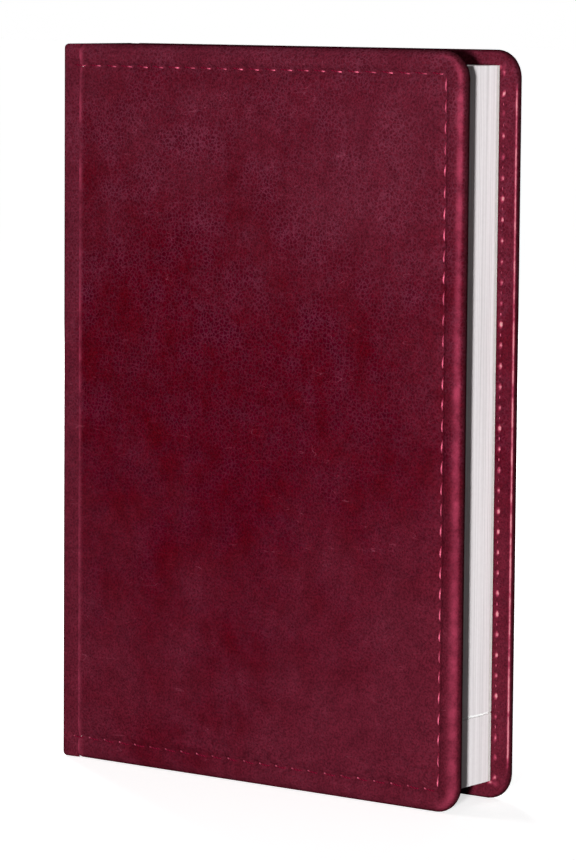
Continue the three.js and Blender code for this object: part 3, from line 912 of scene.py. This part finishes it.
def cover_skin(name, side):
    piece = cover_grid(name)
    numbers = np.empty(len(piece.data.vertices), dtype=int)
    piece.data.attributes["ring"].data.foreach_get("value", numbers)
    corners = coordinates(piece)
    flat_x, flat_z = corners[:, 0].copy(), corners[:, 2].copy()
    depth = np.zeros(len(corners))
    highlight_and_wear = np.zeros(len(corners))
    outside = numbers == 0
    for number, (inset, joint_inset, fall, part) in enumerate(RINGS, start=1):
        here = numbers == number
        x, z = lay_ring(flat_x[here], flat_z[here], inset, joint_inset)
        corners[here, 0], corners[here, 2] = x, z
        depth[here] = fall
        if part == "outside":
            outside |= here
            highlight_and_wear[here] = rim_highlight(x, z, inset)
        if part == "inside" and inset > 0.05:
            relief, highlight_and_wear[here] = inner_relief(x, z, inset, side)
            depth[here] += relief
    sink, left = outer_relief(corners[outside, 0], corners[outside, 2], side)
    depth[outside] += sink
    highlight_and_wear[outside] = np.minimum(highlight_and_wear[outside] * left, OUTSIDE_HIGHLIGHT_LIMIT)
    corners[:, 1] = side * (HALF_THICKNESS - depth)
    move_to(piece, corners)
    # Painted highlight and wear above 0, the darker narrow face of the edge below 0
    store(piece, "highlight_and_wear", highlight_and_wear - darker_edge_face(numbers, corners))
    if side > 0:
        with editing(piece):
            bpy.ops.mesh.select_all(action="SELECT")
            bpy.ops.mesh.flip_normals()
    smooth(piece, 50)
    return piece


for word, side in SIDES:
    skin = cover_skin(f"{word}_padded_cover", side)
    hand_over(skin, leather, [f"{word}_cover_skin"], f"{word}_cover")
    print(skin.name, len(skin.data.polygons), "faces")

# %% [markdown]
# ## Stitches
# A lockstitch seam shows short lengths of needle thread on the outer face, each diving into a hole
# at both ends. One stitch is a six-sided tube: a circle extruded step by step along a low arch. It
# is copied to every place along the seam, a little turned as machine stitches are, and the copies
# are joined. The first and last stitch lie across the joint and are made as a piece of their own.
# Inside, a short length of bobbin thread shows in each dent, further out because the needle goes
# in at a slant.

# %% One stitch
MIRROR = Matrix.Diagonal((1.0, -1.0, 1.0, 1.0))


def one_stitch(radius, arch, length, shine_at, shine_wide):
    """A stitch along x round the origin; its painted glint is brightest at shine_at, a share of its length.
    """
    bpy.ops.mesh.primitive_circle_add(
        vertices=6, radius=radius * MM, location=(-length / 2 * MM, arch * MM, 0.0),
        rotation=(0.0, math.pi / 2, 0.0), fill_type="NGON",
    )
    piece = shaped("one_stitch")
    at = Vector((-0.5, arch))
    with editing(piece):
        bpy.ops.mesh.select_all(action="SELECT")
        for share in (-0.42, -0.32, -0.2, 0.0, 0.2, 0.32, 0.42, 0.5):
            bow = arch * (2 * abs(share)) ** 3
            step = ((share - at[0]) * length * MM, (bow - at[1]) * MM, 0.0)
            bpy.ops.mesh.extrude_region_move(TRANSFORM_OT_translate={"value": step})
            at = Vector((share, bow))
    face_outwards(piece)
    share = coordinates(piece)[:, 0] - SPINE_TO_MIDDLE
    store(piece, "shine", hump(share / length - shine_at, shine_wide))
    smooth(piece, 70)
    return piece


def copy_along(patterns, matrices, name):
    """Copies a pattern to each matrix, each copy with its own mesh, and joins the copies."""
    copies = []
    for pattern, matrix in zip(patterns, matrices):
        copy = pattern.copy()
        copy.data = pattern.data.copy()
        copy.data.transform(matrix)
        bpy.context.collection.objects.link(copy)
        copies.append(copy)
    bpy.ops.object.select_all(action="DESELECT")
    for copy in copies:
        copy.select_set(True)
    bpy.context.view_layer.objects.active = copies[0]
    bpy.ops.object.join()
    copies[0].name = name
    face_outwards(copies[0])
    return copies[0]


def stitch_places(side, depth_mm, slant, outwards=0.0):
    """A matrix for each stitch from the joint along the head, down the fore edge and back, in order."""
    lengths = [(index + 0.5) * ACROSS_PITCH for index in range(STITCHES_ACROSS)]
    drops = [(index + 0.5) * DOWN_PITCH for index in range(STITCHES_DOWN)]
    spots = [(SEAM_START + length, SEAM_TOP + outwards, 0.0) for length in lengths]
    spots += [(SEAM_X + outwards, SEAM_TOP - drop, math.pi / 2) for drop in drops]
    spots += [(SEAM_X - length, SEAM_INSET - outwards, math.pi) for length in lengths]
    flip = Matrix.Identity(4) if side < 0 else MIRROR
    made = []
    for index, (x, z, turn) in enumerate(spots):
        wobble = float(hole_change(np.array(index + 7.0), side)) - 0.5
        turned = Matrix.Rotation(turn + slant + 0.1 * wobble, 4, "Y")
        spot = place(x, side * (HALF_THICKNESS - depth_mm - 0.06 * wobble), z)
        made.append(Matrix.Translation(spot) @ flip @ turned)
    return made


# %% Seam of each cover
NEEDLE_DEPTH = 0.56
NEEDLE_SLANT = 0.1
BOBBIN_DEPTH = COVER_THICKNESS - 0.14

stitch = one_stitch(radius=0.22, arch=0.7, length=4.3, shine_at=0.4, shine_wide=0.1)
fore_stitch = one_stitch(radius=0.22, arch=0.7, length=4.3, shine_at=0.12, shine_wide=0.3)
dent_stitch = one_stitch(radius=0.14, arch=0.5, length=2.0, shine_at=0.0, shine_wide=0.3)
across = [stitch] * STITCHES_ACROSS
patterns = across + [fore_stitch] * STITCHES_DOWN + across
for word, side in SIDES:
    places = stitch_places(side, NEEDLE_DEPTH, NEEDLE_SLANT)
    seam = copy_along(patterns[1:-1], places[1:-1], f"{word}_needle_thread")
    hand_over(seam, seam_thread, [f"{word}_seam_top_thread"], f"{word}_cover")
    crossing = copy_along([stitch, stitch], [places[0], places[-1]], f"{word}_joint_stitches")
    hand_over(crossing, seam_thread)
    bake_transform(crossing)
    inner = [m @ MIRROR for m in stitch_places(side, BOBBIN_DEPTH, 0.0, SEAM_SLANT)[1:-1]]
    bobbin = copy_along([dent_stitch] * len(inner), inner, f"{word}_bobbin_thread")
    hand_over(bobbin, seam_thread, [f"{word}_seam_bobbin_thread"], f"{word}_cover")
    print(seam.name, len(places) - 2, "stitches")
for pattern in (stitch, fore_stitch, dent_stitch):
    bpy.data.objects.remove(pattern)

# %% [markdown]
# ## Joints and spine
# Between each board and the spine the skin has nothing behind it, so it bends there: that strip is
# the hinge of the cover. It is a slab cut fine enough to bend, tucked a little under both
# neighbours. The skin of the spine wraps a narrow board, and its outer edge falls away at head and
# tail.

# %% Joint strips
STRIP_X = 3.35
STRIP_WIDTH = 5.5
STRIP_SHORTER = 0.3
STRIP_COLUMNS = 18
STRIP_ROWS = 320


def round_spine_ends(corners):
    x, z = corners[:, 0], corners[:, 2]
    fall = 1.1 * unit(1.0 - x / 2.0) ** 2
    corners[:, 2] += fall * (unit((3.0 - z) / 3.0) - unit((z - COVER_HEIGHT + 3.0) / 3.0))
    return corners


for word, side in SIDES:
    middle = place(STRIP_X, side * STRIP_Y, COVER_HEIGHT / 2)
    wide, high = STRIP_WIDTH * MM, (COVER_HEIGHT - STRIP_SHORTER) * MM
    strip = grid(f"{word}_joint_leather", STRIP_COLUMNS, STRIP_ROWS, middle, wide, high)
    with editing(strip):
        bpy.ops.mesh.select_all(action="SELECT")
        step = (0.0, -side * STRIP_THICKNESS * MM, 0.0)
        bpy.ops.mesh.extrude_region_move(TRANSFORM_OT_translate={"value": step})
    face_outwards(strip)
    corners = coordinates(strip)
    x, z = corners[:, 0], corners[:, 2]
    outer = np.abs(corners[:, 1]) > STRIP_Y - 0.1
    end = np.minimum(z, COVER_HEIGHT - z)
    # The strip dips under the spine and the cover, sags in between and is rounded at its ends
    sink = 0.3 * unit((0.95 - x) / 0.35) ** 2 + 0.35 * unit((x - 5.0) / 0.9)
    sink += 0.1 * hump(x - 4.6, 0.8) - 0.05 + 0.55 * unit(1.0 - end / 0.9) ** 2
    sink += np.where(outer, 0.55 * channel(x, z, side, 1.4), 0.0)
    sink += 0.04 * soft_noise(corners, 9.0, 5.0 + side)
    corners[:, 1] -= side * np.where(outer, sink, 0.6 * sink)
    move_to(strip, round_spine_ends(corners))
    smooth(strip, 60)
    hand_over(strip, leather, [f"{word}_joint_strip"])
    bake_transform(strip)
    print(strip.name, len(strip.data.polygons), "faces")

# %% Spine skin
SPINE_DEPTH = 2.0
LONG_ROUND = 1.0
END_ROUND = 0.5
SPINE_CUTS_Z = (1.6, 4.0, 9.0, 20.0, 60.0, 107.5, 155.0, 195.0, 206.0, 211.0, 213.4)
SPINE_CUTS_Y = (-13.0, -9.0, -4.5, 0.0, 4.5, 9.0, 13.0)


def long_outer_edge(edge):
    level = abs(edge.verts[0].co.y - edge.verts[1].co.y) < 1e-6
    return level and middle_of(edge).x < place(0.01, 0, 0).x


spine = block("spine_leather", (0.0, -STRIP_Y, 0.0), (SPINE_DEPTH, STRIP_Y, COVER_HEIGHT))
with editing(spine):
    choose("EDGE", long_outer_edge)
    bpy.ops.mesh.bevel(offset=LONG_ROUND * MM, segments=5, affect="EDGES")
    choose("FACE", lambda f: abs(f.normal.z) > 0.9)
    bpy.ops.mesh.bevel(offset=END_ROUND * MM, segments=3, affect="EDGES")
    cut(2, [z * MM for z in SPINE_CUTS_Z])
    cut(1, [y * MM for y in SPINE_CUTS_Y])
move_to(spine, round_spine_ends(coordinates(spine)))
smooth(spine, 50)
hand_over(spine, leather, ["spine_skin"], "text_block")
print("spine", len(spine.data.polygons), "faces")

# %% [markdown]
# ## End papers in the joint
# Each end paper is one folded sheet: half is pasted to the cover, half is the flyleaf, and between
# them it dips into the joint. Here the dip is a strip of paper, made by extruding an edge from the
# first leaf down to the skin and up over the edge of the board. Because it passes close to the
# hinge's axis it hardly stretches when the cover opens.

# %% Joint papers
DIP = (
    (3.5, 11.4), (3.05, 11.5), (2.95, 12.6), (3.0, 13.6), (3.3, 14.05), (3.9, 14.15), (4.5, 14.05),
    (4.85, 13.5), (4.95, 12.6), (5.05, 11.75), (5.3, 11.42), (6.2, 11.4), (7.6, 11.6), (8.6, 11.62),
)
FOLD_SHORTER = 0.6
END_PAPER_THICKNESS = 0.1

for word, side in SIDES:
    bpy.ops.mesh.primitive_plane_add(size=1.0)
    fold = bpy.context.object
    fold.name = f"{word}_joint_paper"
    for corner in fold.data.vertices:
        x, y = DIP[0] if corner.co.x < 0 else DIP[1]
        z = BLOCK_TAIL + FOLD_SHORTER if corner.co.y < 0 else BLOCK_HEAD - FOLD_SHORTER
        corner.co = place(x, side * y, z)
    second = place(DIP[1][0], side * DIP[1][1], 0.0)
    with editing(fold):
        choose("EDGE", lambda e: all((v.co - second).xy.length < 1e-7 for v in e.verts))
        for (x0, y0), (x1, y1) in zip(DIP[1:], DIP[2:]):
            step = ((x1 - x0) * MM, side * (y1 - y0) * MM, 0.0)
            bpy.ops.mesh.extrude_edges_move(TRANSFORM_OT_translate={"value": step})
    modify(fold, "SUBSURF", levels=1, render_levels=1)
    modify(fold, "SOLIDIFY", thickness=END_PAPER_THICKNESS * MM, offset=0.0)
    face_outwards(fold)
    flat_uv(fold)
    smooth(fold, 60)
    hand_over(fold, end_paper, [f"{word}_endpaper_fold"])
    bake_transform(fold)
    print(fold.name, len(fold.data.polygons), "faces")

# %% [markdown]
# ## Leaves that turn
# The flyleaf and four leaves at each side turn when the cover opens. Each is a thin slab of paper,
# cut across near the gutter so that it can bend there, with the small notch of the perforated
# corner in its fore edge. Its first millimetres stay in the bound margin.

# %% Leaves
FIRST_LEAF_Y = 11.2
GUTTER_X = 10.2
FLYLEAF_HINGE_X = 11.9
LEAF_STEP = 0.26
HINGE_STEP = 0.5
NOTCH_DEPTH = 0.4
NOTCH_HALF = 0.25
LEAF_CUTS_Z = (PERFORATION_Z - NOTCH_HALF, PERFORATION_Z, PERFORATION_Z + NOTCH_HALF, 60, 110, 160)
LEAF_CUTS_X = [30, 50, 75, 100, 125]


def leaf(name, side, near_y, hinge_x, material):
    far_y = near_y - LEAF_THICKNESS
    low = (GUTTER_X, min(side * near_y, side * far_y), BLOCK_TAIL)
    high = (BLOCK_FORE, max(side * near_y, side * far_y), BLOCK_HEAD)
    piece = block(f"{name}_sheet", low, high)
    with editing(piece):
        cut(2, [z * MM for z in LEAF_CUTS_Z])
        bends = [hinge_x - 0.9 + 0.6 * step for step in range(16)]
        cut(0, [place(x, 0, 0).x for x in bends + LEAF_CUTS_X])
    corners = coordinates(piece)
    notch = (np.abs(corners[:, 2] - PERFORATION_Z) < 0.01) & (corners[:, 0] > BLOCK_FORE - 0.01)
    corners[notch, 0] -= NOTCH_DEPTH
    move_to(piece, corners)
    flat_uv(piece)
    smooth(piece, 30)
    hand_over(piece, material, [name])
    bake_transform(piece)


for word, side in SIDES:
    leaf(f"{word}_flyleaf", side, FIRST_LEAF_Y, FLYLEAF_HINGE_X, end_paper)
    for index in range(1, 5):
        y, hinge_x = FIRST_LEAF_Y - LEAF_STEP * index, FLYLEAF_HINGE_X + HINGE_STEP * index
        leaf(f"{word}_leaf_{index}", side, y, hinge_x, leaf_paper)

# %% [markdown]
# ## Gauze and bands
# The gauze is a sheet of open cotton glued over the backs of the sections. The bands at head and
# tail are striped cotton rolled over a cord, and hide the ends of the sections. Each bead is a
# cylinder cut into rings and pinched between them, where the cloth is drawn in.

# %% Gauze and bands
BEAD_RINGS = 64
PINCH = 0.09

low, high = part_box("spine_gauze")
mull = grid("mull_cloth", 8, 24, (low + high) / 2, high.y - low.y, high.z - low.z, math.pi / 2)
modify(mull, "SOLIDIFY", thickness=(high.x - low.x) * 0.9, offset=0.0)
smooth(mull, 30)
hand_over(mull, finishes["gauze"], ["spine_gauze"], "text_block")
print("gauze", round((high.y - low.y) / MM, 1), "by", round((high.z - low.z) / MM, 1), "mm")

for word in ("head", "tail"):
    low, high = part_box(f"{word}_band")
    middle, size = (low + high) / 2, high - low
    bpy.ops.mesh.primitive_cylinder_add(
        vertices=16, radius=0.5 * size.z, depth=size.y, location=middle, rotation=(math.pi / 2, 0.0, 0.0)
    )
    bead = shaped(f"{word}_band_bead")
    with editing(bead):
        cut(1, [low.y + size.y * step / BEAD_RINGS for step in range(1, BEAD_RINGS)])
    corners = coordinates(bead)
    from_end = corners[:, 1] - low.y / MM
    wave = 1.0 - PINCH * (np.round(from_end / (size.y / MM / BEAD_RINGS)) % 2)
    wave *= unit(0.55 + np.minimum(from_end, high.y / MM - corners[:, 1]) / 0.9)
    centre_x = middle.x / MM + SPINE_TO_MIDDLE
    corners[:, 0] = centre_x + (corners[:, 0] - centre_x) * wave * size.x / size.z
    corners[:, 2] = middle.z / MM + (corners[:, 2] - middle.z / MM) * wave
    move_to(bead, corners)
    smooth(bead, 60)
    hand_over(bead, finishes["band_cloth"], [f"{word}_band"], "text_block")
    print(bead.name, len(bead.data.polygons), "faces")
